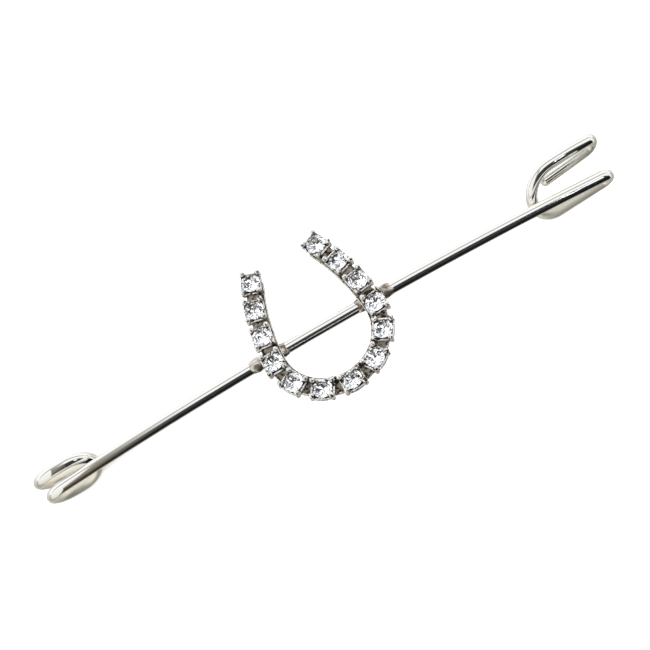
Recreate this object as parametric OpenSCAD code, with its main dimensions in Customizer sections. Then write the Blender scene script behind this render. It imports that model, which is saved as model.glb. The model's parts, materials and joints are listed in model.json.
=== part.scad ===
// Rider's stock pin: one bent wire forms the bar, the spring coil, the pin stem and the catch,
// and a horseshoe of stones in square claw cups is soldered across the middle of the bar.
// It lies on its coil and catch, stones up: +X runs to the catch, +Y to the horseshoe's opening.

/* [Wire] */
// Diameter of the one wire that the pin is bent from
wire_d = 1.5; // [1.2:0.1:1.7]

/* [Bar] */
// Straight distance from the bar's coil end to its catch end
bar_length = 75.2; // [66:0.2:90]
// Radius of the bar's slight arch towards the stones
bar_radius = 297; // [240:1:500]

/* [Coil] */
// Bend radius where the bar turns back into the coil
coil_first_r = 2.65; // [2.5:0.05:3]
// Bend radius of the lower inner quarter of the coil
coil_inner_r = 3.2; // [2.9:0.05:3.4]
// Bend radius of the upper inner quarter of the coil
coil_upper_r = 2.75; // [2.6:0.05:3]
// Bend radius where the coil turns back into the stem
coil_last_r = 2.9; // [2.7:0.05:3.1]

/* [Catch] */
// Bend radius at the two pointed ends of the catch
hook_r = 1.1; // [1:0.05:1.3]
// Length of the straight wire behind the first hook
hook_back = 6.35; // [5:0.05:7]
// Bend radius low on the open side of the catch
catch_low_r = 2.1; // [2:0.05:2.4]
// Bend radius high on the open side of the catch
catch_high_r = 4.1; // [3.8:0.1:4.5]
// Radius of the slight bow along the top of the catch
catch_top_r = 15.2; // [12:0.2:20]
// Length of the wire's free end behind the second hook
free_end = 6.6; // [3:0.1:7]

/* [Stem] */
// Radius of the double bend that brings the stem behind the bar
stem_joggle_r = 10; // [8:0.5:12]
// Length of the stem's ground point
point_length = 8; // [5:0.5:11]
// Diameter left at the tip of the point
point_d = 0.24; // [0.2:0.02:0.5]

/* [Horseshoe] */
// Number of stones, an odd number so that one sits at the toe
stone_count = 13; // [9:2:15]
// Distance from stone to stone along the horseshoe
stone_pitch = 3.74; // [3.3:0.02:4.2]
// Radius of the horseshoe's round toe
toe_r = 7.05; // [6:0.05:8]
// Radius of its long side branches
branch_r = 30; // [24:1:60]
// Distance from the bar's centre line to the toe stone's centre
toe_reach = 8.7; // [8:0.05:10]
// How far the horseshoe sits from the bar's middle, towards the catch
shoe_shift = -0.9; // [-6:0.05:6]
// How far the horseshoe is turned on the bar
shoe_turn = 1.1; // [-5:0.1:5]
// Width of the strip that joins the cups
strip_w = 2.3; // [2:0.05:2.7]
// How far the strip's middle lies inside the line of the stones
strip_inside = 0.35; // [0.1:0.05:0.5]
// Thickness of the strip that joins the cups
strip_t = 0.75; // [0.6:0.05:1.1]

/* [Cups] */
// Width of a stone's square cup
cup_w = 2.7; // [2.66:0.02:2.9]
// Distance across a cup's rounded corners
cup_corner_d = 3.56; // [3.4:0.02:3.7]
// Diameter of a cup's round foot
cup_foot_d = 2.1; // [1.9:0.05:2.5]
// Height of a cup above the strip
cup_h = 0.2; // [0.15:0.05:0.6]
// Height of a stone's girdle above its cup
girdle_rise = 0.15; // [0.1:0.01:0.3]
// Diameter of a claw
claw_d = 0.5; // [0.4:0.02:0.6]
// Diameter of the round bead on a claw
bead_d = 0.6; // [0.5:0.02:0.66]

/* [Stones] */
// Diameter of a stone at its girdle
stone_d = 2.44; // [2.2:0.02:2.5]
// Gap left between a stone and its seat
stone_gap = 0.06; // [0.05:0.01:0.1]
// Height of the girdle's own edge
girdle_t = 0.1; // [0.06:0.02:0.14]
// Height of the crown above the girdle
crown_h = 0.42; // [0.3:0.02:0.5]
// Depth of the pavilion below the girdle
pavilion_h = 0.86; // [0.7:0.02:0.94]
// Diameter of the table
table_d = 1.36; // [1:0.02:1.6]

/* [Hidden] */
$fn = 48;
BEND_FN = 96;             // facets round a whole bend of the wire or the strip
function two_digits(i) = str(i < 10 ? "0" : "", i);
STONES = [for (i = [1:stone_count]) str("stone_", two_digits(i))];

wire_r = wire_d / 2;
solder_sink = 0.25;       // how far the strip is let into the top of the bar
solder_r = wire_r + 0.4;  // radius of a collar of solder round the bar
solder_toe = 0.06;        // thickness of the collar at its two ends
solder_half = 1;          // half the collar's length
solder_slope = 0.6;       // how much of that slopes down to the wire
solder_in = 1.5;          // from the stones' line in to the middle of an inner collar
solder_out = 1.9;         // and out to the middle of an outer one
end_bevel = 0.25;         // bevel on the wire's cut end
join_gap = 0.04;          // from a straight to the bend that follows it
core_length = 0.16;       // of the core that joins them
core_inset = 0.005;       // from the wire's surface in to the core's
stem_drop = 2.7;          // from the bar's line down to the stem where its point begins
stem_aside = 1.25;        // and sideways there, towards the horseshoe's opening
point_reach = 4;          // how far the tip of the point stays short of the hook's bend

// The wire is bent as on a bending bench. Each row of a bend table feeds the wire straight on,
// rolls the plane of the bend about the wire, and bends it round a former by an angle.
FEED = 0;
ROLL = 1;
RADIUS = 2;
BEND = 3;
HALF_BOW = asin(bar_length / 2 / bar_radius);
BAR = [[0, 0, bar_radius, 2 * HALF_BOW]];
COIL = [
    [0, -14.5, coil_first_r, 170],
    [0.8, -20, coil_inner_r, 89],
    [0, -4, coil_upper_r, 97],
    [1.7, -21, coil_last_r, 179],
];
JOGGLE = [
    [0, 75, stem_joggle_r, 17],
    [0, 180, stem_joggle_r, 19],
];
CATCH = [
    [0, 10.8, hook_r, 159],
    [hook_back, 45.7, catch_low_r, 105.8],
    [0, 13.9, catch_high_r, 80.5],
    [0, 50.4, catch_top_r, 21.5],
    [0, -17.8, hook_r, 167.7],
    [free_end, 0, 1, 0],
];

// A frame's own Y runs along the wire, and its own -X points to the centre of the next bend.
function moved(v) = [[1, 0, 0, v.x], [0, 1, 0, v.y], [0, 0, 1, v.z], [0, 0, 0, 1]];
function rolled(a) = [
    [cos(a), 0, sin(a), 0],
    [0, 1, 0, 0],
    [-sin(a), 0, cos(a), 0],
    [0, 0, 0, 1],
];
function turned(a) = [
    [cos(a), -sin(a), 0, 0],
    [sin(a), cos(a), 0, 0],
    [0, 0, 1, 0],
    [0, 0, 0, 1],
];
function bent(r, a) = moved([-r, 0, 0]) * turned(a) * moved([r, 0, 0]);
function fed_and_rolled(row) = moved([0, row[FEED], 0]) * rolled(row[ROLL]);
function after_row(row, share = 1) = fed_and_rolled(row) * bent(row[RADIUS], row[BEND] * share);
function after(rows, i = 0) = i == len(rows)
    ? moved([0, 0, 0])
    : after_row(rows[i]) * after(rows, i + 1);
function first(rows, n) = [for (i = [0:1:n - 1]) rows[i]];
function place(m) = [m[0][3], m[1][3], m[2][3]];
function direction(m, k) = [m[0][k], m[1][k], m[2][k]];

// The wire's course sampled in steps, to find how far it reaches
STEPS = 16;
function course(start, rows) = [
    for (i = [0:len(rows) - 1], k = [0:STEPS])
        place(start * after(first(rows, i)) * after_row(rows[i], k / STEPS))
];

// Where the bar starts, with its arch's highest point at the origin and the pin not yet laid down
BAR_START = moved([0, 0, -bar_radius])
    * [[0, 1, 0, 0], [0, 0, 1, 0], [1, 0, 0, 0], [0, 0, 0, 1]]
    * turned(-HALF_BOW) * moved([bar_radius, 0, 0]);
BACKWARDS = [[1, 0, 0, 0], [0, -1, 0, 0], [0, 0, -1, 0], [0, 0, 0, 1]];
COIL_START = BAR_START * BACKWARDS;
CATCH_START = BAR_START * after(BAR);
STEM_START = COIL_START * after(COIL) * after(JOGGLE);

// The stem is sprung sideways on one long arc, from the coil to where its point begins in the catch.
POINT_START = CATCH_START * moved([-stem_drop, -point_reach - point_length, stem_aside]);
STEM_RUN = place(POINT_START) - place(STEM_START);
AHEAD = STEM_RUN * direction(STEM_START, 1);
TOWARDS_X = STEM_RUN * direction(STEM_START, 0);
TOWARDS_Z = STEM_RUN * direction(STEM_START, 2);
ASIDE = norm([TOWARDS_X, TOWARDS_Z]);
STEM_ROLL = atan2(TOWARDS_Z, -TOWARDS_X);
STEM = [[0, STEM_ROLL, STEM_RUN * STEM_RUN / (2 * ASIDE), 2 * atan2(ASIDE, AHEAD)]];

// The pin lies on the lowest points of its coil and its catch.
function lowest(points) = [for (p = points) if (p.z == min([for (q = points) q.z])) p][0];
COIL_COURSE = course(COIL_START, COIL);
CATCH_COURSE = course(CATCH_START, CATCH);
COIL_FOOT = lowest(COIL_COURSE);
CATCH_FOOT = lowest(CATCH_COURSE);
LEAN = atan((COIL_FOOT.z - CATCH_FOOT.z) / (COIL_FOOT.x - CATCH_FOOT.x));
function leaned(p) = [p.x * cos(LEAN) + p.z * sin(LEAN), p.y, p.z * cos(LEAN) - p.x * sin(LEAN)];
REACH_X = [for (p = concat(COIL_COURSE, CATCH_COURSE)) leaned(p).x];

// The horseshoe's centre line: a round toe, then two long branches that lean in.
TOE_TURN = 92;   // the toe's round part goes on this far to each side
toe_run = toe_r * TOE_TURN * PI / 180;
last_run = (stone_count - 1) / 2 * stone_pitch;
toe_centre_y = toe_r - toe_reach;
branch_centre = [
    (toe_r - branch_r) * sin(TOE_TURN),
    toe_centre_y - (toe_r - branch_r) * cos(TOE_TURN),
];
function heading(run) = run <= toe_run
    ? run / toe_r * 180 / PI
    : TOE_TURN + (run - toe_run) / branch_r * 180 / PI;
function on_right(run) = run <= toe_run
    ? [toe_r * sin(heading(run)), toe_centre_y - toe_r * cos(heading(run))]
    : branch_centre + branch_r * [sin(heading(run)), -cos(heading(run))];
function stone_run(i) = (i - (stone_count + 1) / 2) * stone_pitch;
function stone_turn(i) = sign(stone_run(i)) * heading(abs(stone_run(i)));
function stone_place(i) = [
    sign(stone_run(i)) * on_right(abs(stone_run(i))).x,
    on_right(abs(stone_run(i))).y,
];

// Heights above the bar's centre line
strip_z = wire_r - solder_sink;
cup_top_z = strip_z + strip_t + cup_h;
girdle_z = cup_top_z + girdle_rise;
stone_r = stone_d / 2;
seat_r = stone_r + stone_gap;
cup_lift = 0.12;          // how far a cup's lower edge lies above the strip's
claw_notch = 0.08;        // how far the stone's seat is cut into each claw
claw_reach = seat_r + claw_d / 2 - claw_notch;
claw_drop = 0.7;          // how far down its cup a claw starts
bead_rise = 0.42;         // height of a bead's centre above the girdle
bead_in = 0.09;           // how far a bead leans in over the stone
LOWER_SHARE = 0.3;        // of the stone's radius, where the lower halves end

// How far the horseshoe reaches across the bar. A cup reaches as far as its flat side or its
// rounded corner, whichever points more that way.
function turned_y(p) = p.x * sin(shoe_turn) + p.y * cos(shoe_turn);
CORNER_TURN = acos(cup_w / cup_corner_d);
SIDE_TURNS = [0:90:270];
function cup_edge(turn) = cup_corner_d / 2 * [cos(turn), sin(turn)];
CUP_YS = [
    for (i = [1:stone_count], side = SIDE_TURNS, turn = [-CORNER_TURN, CORNER_TURN])
        turned_y(stone_place(i) + cup_edge(stone_turn(i) + side + turn))
];
top_y = max(CUP_YS);
bottom_y = min(CUP_YS);
middle_x = (min(REACH_X) + max(REACH_X)) / 2;
middle_y = (top_y + bottom_y) / 2;

module laid_down() {
    floor_z = leaned(COIL_FOOT).z - wire_r;
    translate([-middle_x, -middle_y, -floor_z]) rotate([0, LEAN, 0]) children();
}

// Puts the horseshoe in its place on the bar
module on_bar() {
    translate([shoe_shift, 0, 0]) rotate([0, 0, shoe_turn]) children();
}

// Each straight and each bend stops a hair short of the next, and a core just inside the wire joins them.
module core() {
    rotate([-90, 0, 0]) cylinder(h = core_length, r = wire_r - core_inset, center = true);
}

// One row of a bend table as solid wire: a straight, then a bend
module wire_row(row) {
    if (row[FEED] > 0) {
        translate([0, join_gap / 2, 0]) rotate([-90, 0, 0])
            cylinder(h = row[FEED] - join_gap, r = wire_r);
        translate([0, row[FEED], 0]) core();
    }
    if (row[BEND] > 0) {
        short = join_gap / 2 / row[RADIUS] * 180 / PI;
        translate([0, row[FEED], 0]) rotate([0, row[ROLL], 0]) translate([-row[RADIUS], 0, 0])
            rotate([0, 0, short]) rotate_extrude(angle = row[BEND] - 2 * short, $fn = BEND_FN)
                translate([row[RADIUS], 0]) circle(r = wire_r);
        beyond(row) core();
    }
}

// Puts its children where a row ends
module beyond(row) {
    translate([0, row[FEED], 0]) rotate([0, row[ROLL], 0]) translate([-row[RADIUS], 0, 0])
        rotate([0, 0, row[BEND]]) translate([row[RADIUS], 0, 0]) children();
}

module wire(rows, i = 0) {
    if (i < len(rows)) {
        wire_row(rows[i]);
        beyond(rows[i]) wire(rows, i + 1) children();
    } else {
        children();
    }
}

// What the wire ends in: a bevelled cut or a ground point
module wire_end(length, end_r) {
    translate([0, join_gap / 2, 0]) rotate([-90, 0, 0])
        cylinder(h = length, r1 = wire_r, r2 = end_r);
}

module bent_wire() {
    translate([0, 0, -bar_radius]) rotate([0, -HALF_BOW, 0]) translate([0, 0, bar_radius])
        rotate([0, 0, -90]) rotate([0, -90, 0]) {
            core();
            wire(BAR) wire(CATCH) wire_end(end_bevel, wire_r - end_bevel);
            rotate([180, 0, 0]) wire(COIL) wire(JOGGLE) wire(STEM) wire_end(point_length, point_d / 2);
        }
}

// The strip is bent to the horseshoe's line; its section is a flat rectangle.
module strip_arc(r, a) {
    rotate_extrude(angle = a, $fn = BEND_FN)
        translate([r - strip_inside - strip_w / 2, 0]) square([strip_w, strip_t]);
}

module strip() {
    branch_turn = heading(last_run) - TOE_TURN;
    translate([0, toe_centre_y, strip_z]) rotate([0, 0, -90 - TOE_TURN])
        strip_arc(toe_r, 2 * TOE_TURN);
    for (side = [0, 1])
        mirror([side, 0, 0]) translate([branch_centre.x, branch_centre.y, strip_z])
            rotate([0, 0, TOE_TURN - 90]) strip_arc(branch_r, branch_turn);
}

module at_stone(i) {
    translate([stone_place(i).x, stone_place(i).y, 0]) rotate([0, 0, stone_turn(i)]) children();
}

// A cup flares from a round foot to a square top with rounded corners, and has a claw with a beaded
// tip on each corner.
module cup() {
    intersection() {
        translate([-cup_w / 2, -cup_w / 2, strip_z]) cube([cup_w, cup_w, girdle_z]);
        translate([0, 0, strip_z + cup_lift])
            cylinder(h = cup_top_z - strip_z - cup_lift, d1 = cup_foot_d, d2 = cup_corner_d);
    }
    for (corner = [45:90:315])
        rotate([0, 0, corner]) {
            translate([claw_reach, 0, girdle_z - claw_drop])
                cylinder(h = claw_drop + bead_rise, d = claw_d);
            translate([claw_reach - bead_in, 0, girdle_z + bead_rise]) sphere(d = bead_d);
        }
}

// The hollow that a stone drops into: a cone for its pavilion and a straight wall at its girdle
module seat() {
    seat_top = girdle_z + girdle_t + stone_gap;
    rotate_extrude() polygon([
        [0, girdle_z - pavilion_h - stone_gap],
        [seat_r, girdle_z - stone_gap],
        [seat_r, seat_top],
        [0, seat_top],
    ]);
}

module setting() {
    difference() {
        union() {
            strip();
            for (i = [1:stone_count]) at_stone(i) cup();
        }
        for (i = [1:stone_count]) at_stone(i) seat();
    }
}

// Where the bar passes under the two branches, a collar of solder holds it on either side.
module solder() {
    for (side = [-1, 1], out = [-solder_in, solder_out]) {
        x = side * (toe_r + out) + shoe_shift;
        translate([0, 0, -bar_radius]) rotate([0, asin(x / bar_radius), 0]) translate([0, 0, bar_radius])
            rotate([0, 90, 0]) rotate_extrude() polygon([
                [0, -solder_half],
                [wire_r + solder_toe, -solder_half],
                [solder_r, -solder_half + solder_slope],
                [solder_r, solder_half - solder_slope],
                [wire_r + solder_toe, solder_half],
                [0, solder_half],
            ]);
    }
}

module wire_and_setting() {
    color("silver") laid_down() {
        bent_wire();
        on_bar() setting();
        solder();
    }
}

// A round brilliant: table, eight star facets, eight kites, sixteen upper halves, girdle,
// sixteen lower halves and eight pavilion mains down to the culet.
module brilliant() {
    half_turn = 360 / 16;
    table_r = table_d / 2;
    star_r = (table_r + stone_r) / 2;
    lower_r = stone_r * LOWER_SHARE;
    function kite_z(x) = crown_h * (stone_r - x) / (stone_r - table_r);
    function main_z(x) = -pavilion_h * (1 - x / stone_r);
    function ring(n, r, z, turn) = [
        for (k = [0:n - 1]) [r * cos(k * 360 / n + turn), r * sin(k * 360 / n + turn), z]
    ];
    points = concat(
        ring(8, table_r, girdle_t + crown_h, 0),
        ring(8, star_r, girdle_t + kite_z(star_r * cos(half_turn)), half_turn),
        ring(16, stone_r, girdle_t, 0),
        ring(16, stone_r, 0, 0),
        ring(8, lower_r, main_z(lower_r * cos(half_turn)), half_turn),
        [[0, 0, -pavilion_h]]
    );
    table = 0;
    star = 8;
    upper = 16;
    lower = 32;
    half = 48;
    culet = 56;
    faces = concat(
        [[for (k = [7:-1:0]) table + k]],
        [for (k = [0:7]) [table + k, table + (k + 1) % 8, star + k]],
        [for (k = [0:7]) [table + k, star + k, upper + 2 * k, star + (k + 7) % 8]],
        [for (k = [0:7], h = [2 * k, 2 * k + 1]) [star + k, upper + (h + 1) % 16, upper + h]],
        [for (k = [0:15]) [upper + k, upper + (k + 1) % 16, lower + (k + 1) % 16, lower + k]],
        [for (k = [0:7], h = [2 * k, 2 * k + 1]) [half + k, lower + h, lower + (h + 1) % 16]],
        [for (k = [0:7]) [half + k, culet, half + (k + 7) % 8, lower + 2 * k]]
    );
    polyhedron(points = points, faces = faces);
}

module stone(i) {
    color("aliceblue") laid_down() on_bar() at_stone(i) translate([0, 0, girdle_z]) brilliant();
}

wire_and_setting();
for (i = [1:stone_count])
    stone(i);
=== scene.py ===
import json
from math import asin, atan2, cos, degrees, pi, radians, sin

import bpy
from mathutils import Matrix, Vector

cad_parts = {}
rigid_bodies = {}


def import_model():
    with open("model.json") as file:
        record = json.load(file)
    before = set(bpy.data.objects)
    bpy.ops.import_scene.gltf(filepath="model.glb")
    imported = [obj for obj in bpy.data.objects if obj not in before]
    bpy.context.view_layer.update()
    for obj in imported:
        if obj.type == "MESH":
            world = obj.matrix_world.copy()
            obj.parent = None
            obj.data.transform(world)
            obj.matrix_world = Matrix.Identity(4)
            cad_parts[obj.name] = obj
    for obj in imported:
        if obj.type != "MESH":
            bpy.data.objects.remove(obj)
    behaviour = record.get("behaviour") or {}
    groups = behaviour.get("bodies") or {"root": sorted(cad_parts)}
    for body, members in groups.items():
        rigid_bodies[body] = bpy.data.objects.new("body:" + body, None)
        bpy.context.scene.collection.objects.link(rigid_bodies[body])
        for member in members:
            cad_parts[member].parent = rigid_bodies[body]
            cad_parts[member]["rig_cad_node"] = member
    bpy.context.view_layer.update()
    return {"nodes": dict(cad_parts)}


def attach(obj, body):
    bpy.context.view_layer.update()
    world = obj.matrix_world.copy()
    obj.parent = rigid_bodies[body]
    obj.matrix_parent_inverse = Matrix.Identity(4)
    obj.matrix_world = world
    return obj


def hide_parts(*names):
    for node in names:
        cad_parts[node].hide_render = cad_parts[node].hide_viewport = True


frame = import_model()

# The camera looks down on the pin from a little in front, and is rolled so that the pin lies
# across the picture from the lower left to the upper right.
camera = bpy.data.objects.new("camera", bpy.data.cameras.new("camera"))
bpy.context.scene.collection.objects.link(camera)
camera.data.sensor_width = 36
camera.data.lens = 92.26
camera.data.clip_start = 0.01
camera.data.clip_end = 10
camera.location = (0.0050536, -0.0912948, 0.1856512)
camera.rotation_euler = [radians(a) for a in (23.1559, 14.3579, -27.1488)]
bpy.context.scene.camera = camera
bpy.context.scene.view_settings.view_transform = "Standard"


# The studio is a white tent with a dark opening in front. Polished metal shows it as bands along
# the wire, so the tent is drawn by direction, and the paper floor isn't mirrored in the metal.
def node(tree, kind, **settings):
    made = tree.nodes.new(kind)
    for name, value in settings.items():
        setattr(made, name, value)
    return made


def math_node(tree, operation, *inputs):
    made = node(tree, "ShaderNodeMath", operation=operation)
    for k, value in enumerate(inputs):
        if isinstance(value, (int, float)):
            made.inputs[k].default_value = value
        else:
            tree.links.new(value, made.inputs[k])
    return made.outputs[0]


def ramp(tree, source, stops, interpolation="LINEAR"):
    made = node(tree, "ShaderNodeValToRGB")
    made.color_ramp.interpolation = interpolation
    elements = made.color_ramp.elements
    for k, (place, colour) in enumerate(stops):
        e = elements[k] if k < 2 else elements.new(place)
        e.position = place
        e.color = (*colour, 1)
    tree.links.new(source, made.inputs["Fac"])
    return made.outputs["Color"]


def step(tree, source, low, high):
    """0 below low and 1 above high; the other way round if low is the greater."""
    made = node(tree, "ShaderNodeMapRange", interpolation_type="SMOOTHSTEP")
    tree.links.new(source, made.inputs["Value"])
    made.inputs["From Min"].default_value = min(low, high)
    made.inputs["From Max"].default_value = max(low, high)
    made.inputs["To Min"].default_value = 0 if low < high else 1
    made.inputs["To Max"].default_value = 1 if low < high else 0
    return made.outputs["Result"]


def blend(tree, factor, a, b):
    made = node(tree, "ShaderNodeMix", data_type="RGBA")
    tree.links.new(factor, made.inputs["Factor"])
    for value, socket in ((a, made.inputs["A"]), (b, made.inputs["B"])):
        if isinstance(value, tuple):
            socket.default_value = (*value, 1)
        else:
            tree.links.new(value, socket)
    return made.outputs["Result"]


tent = bpy.data.worlds.new("tent")
bpy.context.scene.world = tent
tent.use_nodes = True
tent.node_tree.nodes.clear()
tree = tent.node_tree
ray = node(tree, "ShaderNodeTexCoord").outputs["Generated"]
parts = node(tree, "ShaderNodeSeparateXYZ")
tree.links.new(ray, parts.inputs[0])
along, across, up = parts.outputs
to_end = math_node(tree, "ABSOLUTE", along)
# Degrees from straight up, towards +Y
turn = math_node(tree, "MULTIPLY", math_node(tree, "ARCTAN2", across, up), 180 / pi)
turn_share = math_node(tree, "MULTIPLY_ADD", turn, 1 / 360, 0.5)


def bands(rows):
    """Stops of a ramp over the whole turn, from rows of degrees and colour."""
    return [((t + 180) / 360, colour) for t, colour in rows]


cloth = ramp(tree, turn_share, bands([
    (-180, (0.5, 0.49, 0.45)), (-160, (0.36, 0.35, 0.32)), (-140, (0.8, 0.79, 0.74)),
    (-90, (0.92, 0.91, 0.87)), (-27, (0.95, 0.95, 0.93)), (8, (1.05, 1.05, 1.05)),
    (14, (0.42, 0.42, 0.42)), (28, (0.42, 0.42, 0.42)), (37, (1.08, 1.08, 1.08)),
    (95, (1.0, 1.0, 1.0)), (125, (0.72, 0.71, 0.68)), (180, (0.55, 0.54, 0.5)),
]))
opening = ramp(tree, turn_share, bands([
    (-180, (0.01, 0.01, 0.01)), (-76, (0.009, 0.009, 0.011)), (-63, (0.055, 0.06, 0.065)),
    (-51, (0.02, 0.02, 0.022)), (-36, (0.03, 0.032, 0.034)), (180, (0.03, 0.03, 0.03)),
]))
room = ramp(tree, turn_share, bands([
    (-180, (0.6, 0.58, 0.52)), (-157, (0.45, 0.42, 0.36)), (-144, (0.12, 0.08, 0.045)),
    (-88, (0.1, 0.065, 0.035)), (-68, (0.2, 0.185, 0.155)), (6, (0.29, 0.285, 0.25)),
    (24, (0.5, 0.49, 0.46)), (44, (1.0, 1.0, 0.99)), (95, (0.95, 0.95, 0.94)),
    (125, (0.72, 0.71, 0.68)), (180, (0.6, 0.58, 0.52)),
]))


def patch_of_tent(middle, half, reach, narrowing, edge, starts, full):
    """A soft-edged patch that narrows to its ends, in degrees of turn and in shares of one along."""
    off = math_node(tree, "ABSOLUTE", math_node(tree, "MULTIPLY_ADD", turn, 1 / half, -middle / half))
    pointed = math_node(tree, "POWER", math_node(tree, "DIVIDE", to_end, reach), narrowing)
    inside = step(tree, math_node(tree, "ADD", off, pointed), 1 + edge, 1 - edge)
    return math_node(tree, "MULTIPLY", step(tree, along, starts, full), inside)


# The opening darkens most of the bar. The room behind it shows in the coil's end of the bar.
in_opening = patch_of_tent(-87, 60, 0.88, 6, 0.06, starts=-0.42, full=-0.32)
in_room = patch_of_tent(-62, 120, 0.39, 10, 0.08, starts=-0.17, full=-0.35)
sky = blend(tree, in_opening, cloth, opening)
sky = blend(tree, in_room, sky, room)
# Lamps behind the cloth: middle and half width along, middle and half height in degrees, strength
LAMPS = [(0.43, 0.06, -44, 11, 1.3), (0.352, 0.006, -45, 12, 6)]
for x, half_x, t, half_t, strength in LAMPS:
    off = math_node(
        tree, "ADD",
        math_node(tree, "POWER", math_node(tree, "MULTIPLY_ADD", along, 1 / half_x, -x / half_x), 2),
        math_node(tree, "POWER", math_node(tree, "MULTIPLY_ADD", turn, 1 / half_t, -t / half_t), 2),
    )
    sky = blend(tree, step(tree, off, 1.15, 0.85), sky, (strength,) * 3)
LIGHT_ON_PAPER = 2.4   # for dull surfaces and the floor, which are lit evenly
path = node(tree, "ShaderNodeLightPath")
shiny = math_node(tree, "MAXIMUM", path.outputs["Is Glossy Ray"], path.outputs["Is Transmission Ray"])
background = node(tree, "ShaderNodeBackground")
# Each facet of a stone picks out one part of the studio, bright cloth or a dark gap beside it.
# Overhead there is more cloth than gap.
patches = node(tree, "ShaderNodeTexVoronoi")
tree.links.new(ray, patches.inputs["Vector"])
patches.inputs["Scale"].default_value = 4.2
patch = node(tree, "ShaderNodeSeparateXYZ")
tree.links.new(patches.outputs["Color"], patch.inputs[0])
overhead = math_node(tree, "MULTIPLY_ADD", step(tree, up, 0.55, 0.95), 0.2, patch.outputs["X"])
glints = ramp(tree, overhead, [
    (0, (0.02, 0.02, 0.02)), (0.3, (0.3, 0.33, 0.35)), (0.38, (0.8, 0.88, 0.95)),
    (0.46, (1.5, 1.5, 1.5)), (0.86, (1.45, 1.42, 1.35)),
], "CONSTANT")
sky = blend(tree, path.outputs["Is Transmission Ray"], sky, glints)
tree.links.new(blend(tree, shiny, (LIGHT_ON_PAPER,) * 3, sky), background.inputs["Color"])
tree.links.new(background.outputs[0], node(tree, "ShaderNodeOutputWorld").inputs["Surface"])

FLOOR_SIZE, FLOOR_DROP = 3, 0.00001
bpy.ops.object.select_all(action="DESELECT")
bpy.ops.mesh.primitive_plane_add(size=FLOOR_SIZE, location=(0, 0, -FLOOR_DROP))
floor = bpy.context.object
floor.name = "floor"
floor.visible_glossy = False
floor.visible_transmission = False
white = bpy.data.materials.new("white_paper")
white.use_nodes = True
shader = white.node_tree.nodes["Principled BSDF"]
shader.inputs["Base Color"].default_value = (0.9, 0.9, 0.9, 1)
shader.inputs["Roughness"].default_value = 1
shader.inputs["Specular IOR Level"].default_value = 0
floor.data.materials.append(white)

# The wire is hard-drawn metal, 1.5 mm thick, bent cold round formers and then plated and polished.
# Each row of a bend table feeds it straight on, rolls the bend's plane, and bends it by an angle.
MM = 0.001
WIRE_R = 0.75
BAR_R = 297
BAR_LENGTH = 75.2
COIL = [(0, -14.5, 2.65, 170), (0.8, -20, 3.2, 89), (0, -4, 2.75, 97), (1.7, -21, 2.9, 179)]
JOGGLE = [(0, 75, 10, 17), (0, 180, 10, 19)]
CATCH = [
    (0, 10.8, 1.1, 159), (6.35, 45.7, 2.1, 105.8), (0, 13.9, 4.1, 80.5), (0, 50.4, 15.2, 21.5),
    (0, -17.8, 1.1, 167.7),
]
FREE_END = 6.6
END_BEVEL = 0.25
STEM_DROP, POINT_REACH, STEM_ASIDE = 2.7, 4, 1.25
POINT_LENGTH = 8
POINT_TAPERS = [(0.25, 0.85), (0.45, 0.5)]   # share of the point's length, share of the width left
POINT_R = 0.12
RING_SIDES = 32
RING_EVERY = 7   # degrees of a bend from ring to ring
LEAN = 1.25871   # degrees that the pin leans down towards its catch
SHARP_BEND = radians(32)   # edges sharper than this stay crisp
LAID_DOWN = Matrix.Translation((0.7308, -0.555053, 7.47675)) @ Matrix.Rotation(radians(LEAN), 4, "Y")


def in_metres(place):
    """A place in millimetres as a matrix for an object in metres."""
    return Matrix.Translation(place.translation * MM) @ place.to_3x3().to_4x4()


def deselect_all():
    if bpy.context.object and bpy.context.object.mode == "EDIT":
        bpy.ops.object.mode_set(mode="OBJECT")
    bpy.ops.object.select_all(action="DESELECT")


def select_points(piece, wanted):
    """Selects the points of a mesh that pass a test, with their edges and faces, in edit mode."""
    bpy.ops.object.mode_set(mode="OBJECT")
    for group in (piece.data.vertices, piece.data.edges, piece.data.polygons):
        group.foreach_set("select", [False] * len(group))
    chosen = {v.index for v in piece.data.vertices if wanted(v.co)}
    for v in chosen:
        piece.data.vertices[v].select = True
    for group in (piece.data.edges, piece.data.polygons):
        for item in group:
            item.select = chosen.issuperset(item.vertices)
    bpy.ops.object.mode_set(mode="EDIT")


def feed(at, length, scale=1):
    """Extrudes the selected ring straight on."""
    run = at.to_3x3() @ Vector((0, length * MM, 0))
    bpy.ops.mesh.extrude_region_move(TRANSFORM_OT_translate={"value": run})
    at = at @ Matrix.Translation((0, length, 0))
    if scale != 1:
        bpy.ops.transform.resize(value=(scale,) * 3, center_override=at.translation * MM)
    return at


def bend(at, roll, radius, angle, every=RING_EVERY):
    """Spins the selected ring round a former."""
    at = at @ Matrix.Rotation(radians(roll), 4, "Y")
    centre = at @ Vector((-radius, 0, 0))
    bpy.ops.mesh.spin(
        steps=max(2, round(angle / every)), angle=-radians(angle),
        center=centre * MM, axis=at.to_3x3() @ Vector((0, 0, 1)),
    )
    return (at @ Matrix.Translation((-radius, 0, 0)) @ Matrix.Rotation(radians(angle), 4, "Z")
            @ Matrix.Translation((radius, 0, 0)))


def bend_rows(at, rows):
    for length, roll, radius, angle in rows:
        if length:
            at = feed(at, length)
        at = bend(at, roll, radius, angle)
    return at


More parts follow.
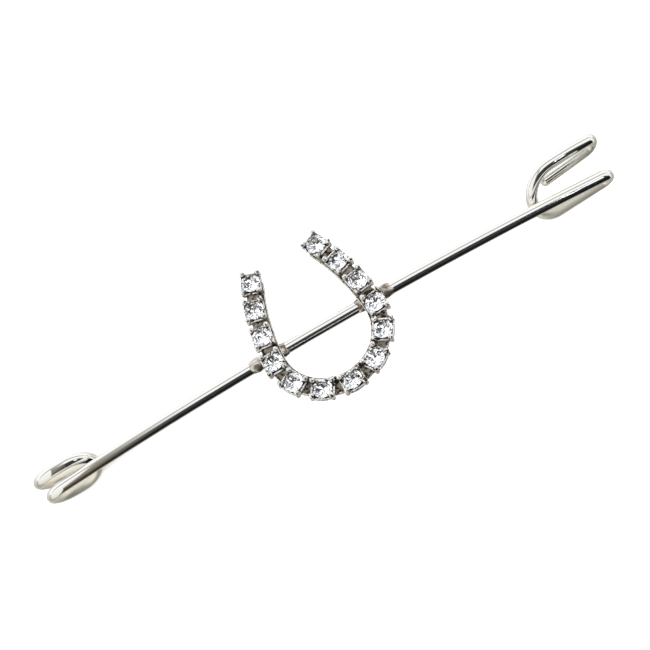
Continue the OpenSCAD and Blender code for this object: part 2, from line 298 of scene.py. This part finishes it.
half_bow = degrees(asin(BAR_LENGTH / 2 / BAR_R))
bar_start = (
    LAID_DOWN @ Matrix.Translation((0, 0, -BAR_R))
    @ Matrix(((0, 1, 0, 0), (0, 0, 1, 0), (1, 0, 0, 0), (0, 0, 0, 1)))
    @ Matrix.Rotation(radians(-half_bow), 4, "Z") @ Matrix.Translation((BAR_R, 0, 0))
)
deselect_all()
UPRIGHT = Matrix(((1, 0, 0), (0, 0, 1), (0, -1, 0)))   # stands a flat outline across the feed
across_wire = bar_start.to_3x3() @ UPRIGHT
bpy.ops.mesh.primitive_circle_add(
    vertices=RING_SIDES, radius=WIRE_R * MM, location=bar_start.translation * MM,
    rotation=across_wire.to_euler(),
)
pin_wire = bpy.context.object
pin_wire.name = "pin_wire"
bpy.ops.object.transform_apply(location=True, rotation=True, scale=True)
bpy.ops.object.mode_set(mode="EDIT")
bpy.ops.mesh.select_all(action="SELECT")
bar_end = bend(bar_start, 0, BAR_R, 2 * half_bow, every=1)
at = bend_rows(bar_end, CATCH)
at = feed(at, FREE_END)
at = feed(at, END_BEVEL, (WIRE_R - END_BEVEL) / WIRE_R)
bpy.ops.mesh.edge_face_add()

start = bar_start.translation * MM
select_points(pin_wire, lambda p: (p - start).length < WIRE_R * MM * 1.01)
at = bend_rows(bar_start @ Matrix.Rotation(pi, 4, "X"), COIL + JOGGLE)
point_start = bar_end @ Matrix.Translation((-STEM_DROP, -POINT_REACH - POINT_LENGTH, STEM_ASIDE))
run = at.inverted() @ point_start.translation
aside = Vector((run.x, run.z)).length
stem_r, stem_turn = run.length_squared / (2 * aside), 2 * degrees(atan2(aside, run.y))
at = bend(at, degrees(atan2(run.z, -run.x)), stem_r, stem_turn, every=1)
# The point is ground in tapers, the last of them down to its small round end.
left_length, left_r = POINT_LENGTH, WIRE_R
for share, narrower in POINT_TAPERS:
    at = feed(at, POINT_LENGTH * share, narrower)
    left_length -= POINT_LENGTH * share
    left_r *= narrower
at = feed(at, left_length - POINT_R, POINT_R / left_r)
at = feed(at, POINT_R * 0.6, 0.75)
at = feed(at, POINT_R * 0.4, 0.3)
bpy.ops.mesh.edge_face_add()
bpy.ops.mesh.select_all(action="SELECT")
bpy.ops.mesh.remove_doubles(threshold=1e-7)
bpy.ops.mesh.normals_make_consistent(inside=False)
bpy.ops.object.mode_set(mode="OBJECT")
bpy.ops.object.shade_smooth_by_angle(angle=SHARP_BEND)


def group_socket(group, name, kind, way, value=None):
    made = group.interface.new_socket(name=name, in_out=way, socket_type=kind)
    if value is not None:
        made.default_value = value


# Effects of the plating that all the metal shares: a slow drift of the colour towards the tarnish,
# and the fine marks that polishing leaves.
DRIFT, MARKS = 260, 4200   # noise scale over a metre
plating = bpy.data.node_groups.new("plating", "ShaderNodeTree")
group_socket(plating, "Bright", "NodeSocketColor", "INPUT")
group_socket(plating, "Tarnish", "NodeSocketColor", "INPUT")
group_socket(plating, "Satin", "NodeSocketFloat", "INPUT", 0)
group_socket(plating, "Polished Roughness", "NodeSocketFloat", "INPUT", 0.1)
group_socket(plating, "Satin Roughness", "NodeSocketFloat", "INPUT", 0.4)
group_socket(plating, "Color", "NodeSocketColor", "OUTPUT")
group_socket(plating, "Roughness", "NodeSocketFloat", "OUTPUT")
group_socket(plating, "Normal", "NodeSocketVector", "OUTPUT")
given = node(plating, "NodeGroupInput").outputs
spot = node(plating, "ShaderNodeTexCoord").outputs["Object"]


def noise(tree, spot, scale, detail):
    made = node(tree, "ShaderNodeTexNoise")
    tree.links.new(spot, made.inputs["Vector"])
    made.inputs["Scale"].default_value = scale
    made.inputs["Detail"].default_value = detail
    return made.outputs["Fac"]


cloud = step(plating, noise(plating, spot, DRIFT, 3), 0.45, 0.8)
# For the setting this mask also carries painted shade in the crevices, which takes the Tarnish colour.
stain_and_shade = math_node(plating, "MAXIMUM", given["Satin"], math_node(plating, "MULTIPLY", cloud, 0.3))
colour = blend(plating, stain_and_shade, given["Bright"], given["Tarnish"])
marks = noise(plating, spot, MARKS, 3)
rough = node(plating, "ShaderNodeMix", data_type="FLOAT")
plating.links.new(given["Satin"], rough.inputs["Factor"])
plating.links.new(given["Polished Roughness"], rough.inputs["A"])
plating.links.new(given["Satin Roughness"], rough.inputs["B"])
spread = math_node(plating, "MULTIPLY_ADD", marks, 0.6, 0.7)
bump = node(plating, "ShaderNodeBump")
bump.inputs["Strength"].default_value = 0.03
bump.inputs["Distance"].default_value = 0.01 * MM
plating.links.new(marks, bump.inputs["Height"])
taken = node(plating, "NodeGroupOutput").inputs
plating.links.new(colour, taken["Color"])
plating.links.new(math_node(plating, "MULTIPLY", rough.outputs["Result"], spread), taken["Roughness"])
plating.links.new(bump.outputs["Normal"], taken["Normal"])


def plated_metal(name, bright, tarnish, polished, satin):
    """A metal with the shared plating. Returns it, its tree and the socket of its satin mask."""
    made = bpy.data.materials.new(name)
    made.use_nodes = True
    tree = made.node_tree
    shader = tree.nodes["Principled BSDF"]
    shader.inputs["Metallic"].default_value = 1
    effect = node(tree, "ShaderNodeGroup", node_tree=plating)
    effect.inputs["Bright"].default_value = (*bright, 1)
    effect.inputs["Tarnish"].default_value = (*tarnish, 1)
    effect.inputs["Polished Roughness"].default_value = polished
    effect.inputs["Satin Roughness"].default_value = satin
    tree.links.new(effect.outputs["Color"], shader.inputs["Base Color"])
    tree.links.new(effect.outputs["Roughness"], shader.inputs["Roughness"])
    tree.links.new(effect.outputs["Normal"], shader.inputs["Normal"])
    return made, tree, effect.inputs["Satin"]


# The polishing wheel reaches the bar and the tops of the bends. Lower down the wire stays satin.
POLISHED_ABOVE, SATIN_BELOW = 4.2, 3.6
bright_wire, tree, satin = plated_metal(
    "bright_wire", (0.95, 0.945, 0.925), (0.94, 0.91, 0.8), 0.07, 0.46,
)
parts = node(tree, "ShaderNodeSeparateXYZ")
tree.links.new(node(tree, "ShaderNodeTexCoord").outputs["Object"], parts.inputs[0])
level = math_node(tree, "MULTIPLY_ADD", parts.outputs["X"], sin(radians(LEAN)), parts.outputs["Z"])
tree.links.new(step(tree, level, POLISHED_ABOVE * MM, SATIN_BELOW * MM), satin)
pin_wire.data.materials.append(bright_wire)
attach(pin_wire, "root")
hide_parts("wire_and_setting")

# The strip is flat metal bent on edge to the horseshoe's line, with its edges rounded by polishing.
# It is soldered on top of the bar and carries the cups.
STONES = 13
PITCH = 3.74
TOE_R = 7.05
TOE_TURN = 92
BRANCH_R = 30
TOE_REACH = 8.7
STRIP_W, STRIP_T, STRIP_ROUND = 2.3, 0.75, 0.14
STRIP_INSIDE = 0.35
STRIP_Z = 0.5
SHOE_SHIFT, SHOE_TURN = -0.9, 1.1
ON_BAR = LAID_DOWN @ Matrix.Translation((SHOE_SHIFT, 0, 0)) @ Matrix.Rotation(radians(SHOE_TURN), 4, "Z")
toe_run = TOE_R * radians(TOE_TURN)


def shoe_frame(run):
    """Where a point of the horseshoe's line is, with Y along the line and -X to its middle."""
    side, run = (1 if run >= 0 else -1), abs(run)
    r, turn = TOE_R, run / TOE_R
    centre = Vector((0, TOE_R - TOE_REACH))
    if run > toe_run:
        turn = radians(TOE_TURN) + (run - toe_run) / BRANCH_R
        centre += (TOE_R - BRANCH_R) * Vector((sin(radians(TOE_TURN)), -cos(radians(TOE_TURN))))
        r = BRANCH_R
    x, y = side * (centre.x + r * sin(turn)), centre.y - r * cos(turn)
    return ON_BAR @ Matrix.Translation((x, y, 0)) @ Matrix.Rotation(side * turn - pi / 2, 4, "Z")


last_run = (STONES - 1) / 2 * PITCH
branch_turn = degrees((last_run - toe_run) / BRANCH_R)
strip_start = shoe_frame(-last_run)
deselect_all()
across_strip = strip_start.to_3x3() @ UPRIGHT
bpy.ops.mesh.primitive_plane_add(
    size=1, location=strip_start @ Vector((-STRIP_INSIDE, 0, STRIP_Z + STRIP_T / 2)) * MM,
    rotation=across_strip.to_euler(),
)
strip = bpy.context.object
strip.name = "horseshoe_strip"
strip.scale = (STRIP_W * MM, STRIP_T * MM, 1)
bpy.ops.object.transform_apply(location=True, rotation=True, scale=True)
bpy.ops.object.mode_set(mode="EDIT")
bpy.ops.mesh.select_all(action="SELECT")
bpy.ops.mesh.bevel(offset=STRIP_ROUND * MM, segments=3, affect="VERTICES")
at = bend(strip_start, 0, BRANCH_R, branch_turn, every=3)
at = bend(at, 0, TOE_R, 2 * TOE_TURN, every=4)
at = bend(at, 0, BRANCH_R, branch_turn, every=3)
bpy.ops.mesh.select_all(action="SELECT")
bpy.ops.mesh.remove_doubles(threshold=1e-7)
bpy.ops.mesh.normals_make_consistent(inside=False)
bpy.ops.object.mode_set(mode="OBJECT")
SHARP_SETTING = radians(40)
bpy.ops.object.shade_smooth_by_angle(angle=SHARP_SETTING)
# Its nearly black tarnish colour is partly tarnish and partly painted shade in the crevices.
setting_metal, tree, satin = plated_metal(
    "setting_metal", (0.98, 0.97, 0.95), (0.05, 0.036, 0.022), 0.1, 0.3,
)
# The crevices between the cups, the claws and the stones go nearly black where they are most shut in:
# partly tarnish, partly painted shade. The surface is uneven as cast.
CREVICE, CAST_BUMP = 0.9, 0.25
shelter = node(tree, "ShaderNodeAmbientOcclusion", samples=8)
shelter.inputs["Distance"].default_value = CREVICE * MM
spot = node(tree, "ShaderNodeTexCoord").outputs["Object"]
# Painted shade and tarnish: the colour goes nearly black where nearby cups, claws and stones shut off the
# surface.
sheltered_tarnish_and_shade = step(tree, shelter.outputs["AO"], 0.7, 0.4)
pits = step(tree, noise(tree, spot, 2500, 1), 0.6, 0.66)
tree.links.new(math_node(tree, "MAXIMUM", sheltered_tarnish_and_shade, pits), satin)
cast = node(tree, "ShaderNodeBump")
cast.inputs["Strength"].default_value = 0.7
cast.inputs["Distance"].default_value = CAST_BUMP * MM
tree.links.new(noise(tree, spot, 2300, 1), cast.inputs["Height"])
tree.links.new(cast.outputs["Normal"], tree.nodes["Principled BSDF"].inputs["Normal"])
strip.data.materials.append(setting_metal)
# Between the cups the top of the strip is dark brown: partly the flux of the soldering, which no
# polishing reaches, partly painted shade between the cups.
flux_and_shade_metal, tree, satin = plated_metal(
    "flux_and_shade_metal", (0.42, 0.38, 0.32), (0.035, 0.027, 0.018), 0.2, 0.45,
)
spot = node(tree, "ShaderNodeTexCoord").outputs["Object"]
tree.links.new(step(tree, noise(tree, spot, 1900, 2), 0.62, 0.4), satin)
strip.data.materials.append(flux_and_shade_metal)
# Painted shade and flux: the faces that point up, seen between the cups, take the dark brown metal.
for face in strip.data.polygons:
    face.material_index = 1 if face.normal.z > 0.9 else 0
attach(strip, "root")
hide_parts("wire_and_setting")

# Each stone sits in a small flared cup of the same metal, round below and square above, with a
# hollow seat. Four claws stand on its corners, and their beaded tips are pressed in over the stone.
GIRDLE_Z = 1.6
CUP_W, CUP_LENGTH = 2.64, 3.0
CUP_FOOT_Z, CUP_TOP_Z = 0.62, 1.45
CUP_FOOT_R, CUP_CORNER_R = 1.2, 1.86
CUP_EDGE = 0.05
SEAT_R, SEAT_RIM, SEAT_DEPTH = 1.28, 0.06, 0.92
CLAW_TURNS = (51, 129, 231, 309)   # degrees round the stone
CLAW_REACH, CLAW_DROP = 1.62, 0.7
BEAD_R, BEAD_RISE, BEAD_IN = 0.36, 0.34, 0.06
BEAD_CUT = BEAD_R * 0.45   # below its middle the bead runs into the claw's neck
NECK_H, NECK_SHARE, LEG_SHARE = 0.2, 0.86, 1.06


def select_faces(piece, wanted):
    bpy.ops.object.mode_set(mode="OBJECT")
    for group in (piece.data.vertices, piece.data.edges, piece.data.polygons):
        group.foreach_set("select", [False] * len(group))
    for face in piece.data.polygons:
        face.select = wanted(face)
    bpy.ops.object.mode_set(mode="EDIT")
    bpy.ops.mesh.select_mode(type="FACE")


def apply_modifier(piece, kind, **settings):
    bpy.context.view_layer.objects.active = piece
    made = piece.modifiers.new(kind.lower(), kind)
    for name, value in settings.items():
        setattr(made, name, value)
    bpy.ops.object.modifier_apply(modifier=made.name)


def join(pieces):
    """Joins pieces into the first of them."""
    deselect_all()
    for piece in pieces:
        piece.select_set(True)
    bpy.context.view_layer.objects.active = pieces[0]
    bpy.ops.object.join()


deselect_all()
bpy.ops.mesh.primitive_cone_add(
    vertices=48, radius1=CUP_FOOT_R * MM, radius2=CUP_CORNER_R * MM, depth=(CUP_TOP_Z - CUP_FOOT_Z) * MM,
    location=(0, 0, (CUP_FOOT_Z + CUP_TOP_Z) / 2 * MM),
)
cup = bpy.context.object
bpy.ops.object.transform_apply(location=True, rotation=True, scale=True)
bpy.ops.object.mode_set(mode="EDIT")
for x, y in ((1, 0), (-1, 0), (0, 1), (0, -1)):
    side = Vector((x * CUP_W, y * CUP_LENGTH, 0)) / 2 * MM
    bpy.ops.mesh.select_all(action="SELECT")
    bpy.ops.mesh.bisect(plane_co=side, plane_no=(x, y, 0), use_fill=True, clear_outer=True)
bpy.ops.object.mode_set(mode="OBJECT")
deselect_all()
bpy.ops.mesh.primitive_cone_add(
    vertices=48, radius1=0, radius2=SEAT_R * MM, depth=(SEAT_DEPTH - SEAT_RIM) * MM,
    location=(0, 0, (GIRDLE_Z - (SEAT_DEPTH + SEAT_RIM) / 2) * MM),
)
seat = bpy.context.object
bpy.ops.object.transform_apply(location=True, rotation=True, scale=True)
deselect_all()
apply_modifier(cup, "BOOLEAN", operation="DIFFERENCE", object=seat, solver="EXACT")
apply_modifier(
    cup, "BEVEL", width=CUP_EDGE * MM, segments=2, limit_method="ANGLE", angle_limit=radians(35),
)
claws = []
for corner in CLAW_TURNS:
    deselect_all()
    out = Vector((cos(radians(corner)), sin(radians(corner)), 0))
    bpy.ops.mesh.primitive_uv_sphere_add(
        segments=12, ring_count=8, radius=BEAD_R * MM,
        location=(out * (CLAW_REACH - BEAD_IN) + Vector((0, 0, GIRDLE_Z + BEAD_RISE))) * MM,
    )
    claw = bpy.context.object
    bpy.ops.object.transform_apply(location=True, rotation=True, scale=True)
    select_faces(claw, lambda f: f.center.z < (GIRDLE_Z + BEAD_RISE - BEAD_CUT) * MM)
    # A short neck under the bead, then the claw's straight leg down to the cup
    neck = out * BEAD_IN * 0.6 - Vector((0, 0, NECK_H))
    leg = out * BEAD_IN * 0.4 + Vector((0, 0, NECK_H - CLAW_DROP - BEAD_RISE + BEAD_CUT))
    bpy.ops.mesh.extrude_region_move(TRANSFORM_OT_translate={"value": neck * MM})
    bpy.ops.transform.resize(value=(NECK_SHARE, NECK_SHARE, 1))
    bpy.ops.mesh.extrude_region_move(TRANSFORM_OT_translate={"value": leg * MM})
    bpy.ops.transform.resize(value=(LEG_SHARE, LEG_SHARE, 1))
    bpy.ops.object.mode_set(mode="OBJECT")
    claws.append(claw)
join([cup, *claws])
bpy.ops.object.mode_set(mode="EDIT")
bpy.ops.mesh.select_all(action="SELECT")
bpy.ops.mesh.normals_make_consistent(inside=False)
bpy.ops.object.mode_set(mode="OBJECT")
bpy.ops.object.shade_smooth_by_angle(angle=SHARP_SETTING)
cup.data.materials.clear()
cup.data.materials.append(setting_metal)
holes = []
for i in range(1, STONES + 1):
    deselect_all()
    cup.select_set(True)
    bpy.context.view_layer.objects.active = cup
    bpy.ops.object.duplicate()
    made = bpy.context.object
    made.name = f"cup_{i:02d}"
    place = shoe_frame((i - (STONES + 1) / 2) * PITCH)
    made.matrix_world = in_metres(place)
    bpy.ops.object.transform_apply(location=True, rotation=True, scale=True)
    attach(made, "root")
    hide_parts("wire_and_setting")
    hole = seat.copy()
    hole.data = seat.data.copy()
    hole.data.transform(in_metres(place))
    bpy.context.scene.collection.objects.link(hole)
    holes.append(hole)
bpy.data.objects.remove(cup)
bpy.data.objects.remove(seat)
# The seats go down into the strip, so it has the same hollows. Points that the cut leaves closer
# than a micron are merged.
join(holes)
deselect_all()
apply_modifier(strip, "BOOLEAN", operation="DIFFERENCE", object=holes[0], solver="EXACT")
bpy.data.objects.remove(holes[0])
strip.select_set(True)
bpy.ops.object.mode_set(mode="EDIT")
bpy.ops.mesh.select_all(action="SELECT")
bpy.ops.mesh.remove_doubles(threshold=1e-6)
bpy.ops.mesh.dissolve_degenerate(threshold=1e-6)
bpy.ops.object.mode_set(mode="OBJECT")

# Solder holds the horseshoe to the bar on both sides of each branch. It was melted on by hand, so
# each lump is uneven, dull and a little brown.
LUMP_R, LUMP_HALF = 0.92, 1.45
LUMP_UNEVEN = 0.3
LUMPS = {   # along the bar from its highest point, degrees about the bar, share of the full size
    "solder_left_outer": (-9.85, 20, 1.0),
    "solder_left_inner": (-6.45, 200, 0.98),
    "solder_right_inner": (4.65, 110, 0.94),
    "solder_right_outer": (8.05, 300, 0.98),
}
uneven = bpy.data.textures.new("uneven_solder", "CLOUDS")
uneven.noise_scale = 0.9 * MM
uneven.noise_depth = 2
solder_metal, tree, satin = plated_metal("solder", (0.72, 0.69, 0.63), (0.2, 0.15, 0.1), 0.24, 0.45)
spot = node(tree, "ShaderNodeTexCoord").outputs["Object"]
tree.links.new(step(tree, noise(tree, spot, 1100, 3), 0.42, 0.68), satin)
for name, (run, turned, size) in LUMPS.items():
    deselect_all()
    bpy.ops.mesh.primitive_uv_sphere_add(segments=32, ring_count=20, radius=LUMP_R * size * MM)
    lump = bpy.context.object
    lump.name = name
    bpy.ops.object.mode_set(mode="EDIT")
    bpy.ops.transform.resize(value=(1, 1, LUMP_HALF / LUMP_R))
    bpy.ops.object.mode_set(mode="OBJECT")
    apply_modifier(lump, "DISPLACE", texture=uneven, strength=LUMP_UNEVEN * MM, mid_level=0.55)
    lump.matrix_world = in_metres(
        LAID_DOWN @ Matrix.Translation((0, 0, -BAR_R)) @ Matrix.Rotation(run / BAR_R, 4, "Y")
        @ Matrix.Translation((0, 0, BAR_R)) @ Matrix.Rotation(pi / 2, 4, "Y")
        @ Matrix.Rotation(radians(turned), 4, "Z")
    )
    bpy.ops.object.transform_apply(location=True, rotation=True, scale=True)
    bpy.ops.object.shade_smooth()
    lump.data.materials.append(solder_metal)
    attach(lump, "root")
    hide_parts("wire_and_setting")

# The stones are round brilliants of clear cut glass. A mirror foil on the facets below the girdle
# throws the light back up through the crown. They were set by hand, no two of them quite level.
SET_ASKEW, STONE_TURN = 3.5, 17   # degrees
ASKEW_TURN = 2.4   # radians from one stone to the next
FOILED_BELOW = -0.3   # the height of a facet's normal
glass = bpy.data.materials.new("cut_glass")
glass.use_nodes = True
tree = glass.node_tree
shader = tree.nodes["Principled BSDF"]
shader.inputs["Metallic"].default_value = 0
shader.inputs["Transmission Weight"].default_value = 1
shader.inputs["IOR"].default_value = 1.56
spot = node(tree, "ShaderNodeTexCoord").outputs["Object"]
tree.links.new(
    ramp(tree, noise(tree, spot, 420, 2), [(0.35, (0.97, 0.98, 1.0)), (0.7, (1.0, 0.995, 0.97))]),
    shader.inputs["Base Color"],
)
tree.links.new(math_node(tree, "MULTIPLY", noise(tree, spot, 3000, 2), 0.008), shader.inputs["Roughness"])
foil, tree, satin = plated_metal("foil", (0.99, 0.99, 1.0), (0.93, 0.94, 0.96), 0.01, 0.03)
spot = node(tree, "ShaderNodeTexCoord").outputs["Object"]
tree.links.new(step(tree, noise(tree, spot, 1500, 2), 0.5, 0.7), satin)
for i in range(1, STONES + 1):
    deselect_all()
    solid = frame["nodes"][f"stone_{i:02d}"]
    solid.select_set(True)
    bpy.context.view_layer.objects.active = solid
    bpy.ops.object.duplicate()
    stone = bpy.context.object
    stone.name = f"cut_stone_{i:02d}"
    del stone["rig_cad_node"]
    place = shoe_frame((i - (STONES + 1) / 2) * PITCH) @ Vector((0, 0, GIRDLE_Z)) * MM
    way = Vector((cos(i * ASKEW_TURN), sin(i * ASKEW_TURN), 0))
    tip = Matrix.Rotation(radians(SET_ASKEW), 4, way)
    spin = Matrix.Rotation(radians(i * STONE_TURN), 4, "Z")
    stone.data.transform(Matrix.Translation(place) @ tip @ spin @ Matrix.Translation(-place))
    bpy.ops.object.mode_set(mode="EDIT")
    bpy.ops.mesh.select_all(action="SELECT")
    bpy.ops.mesh.remove_doubles(threshold=1e-7)
    bpy.ops.mesh.dissolve_limited(angle_limit=radians(1))
    bpy.ops.object.mode_set(mode="OBJECT")
    stone.data.materials.clear()
    stone.data.materials.append(glass)
    stone.data.materials.append(foil)
    for face in stone.data.polygons:
        face.material_index = 1 if face.normal.z < FOILED_BELOW else 0
        face.use_smooth = False
    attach(stone, "root")
    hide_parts(f"stone_{i:02d}")
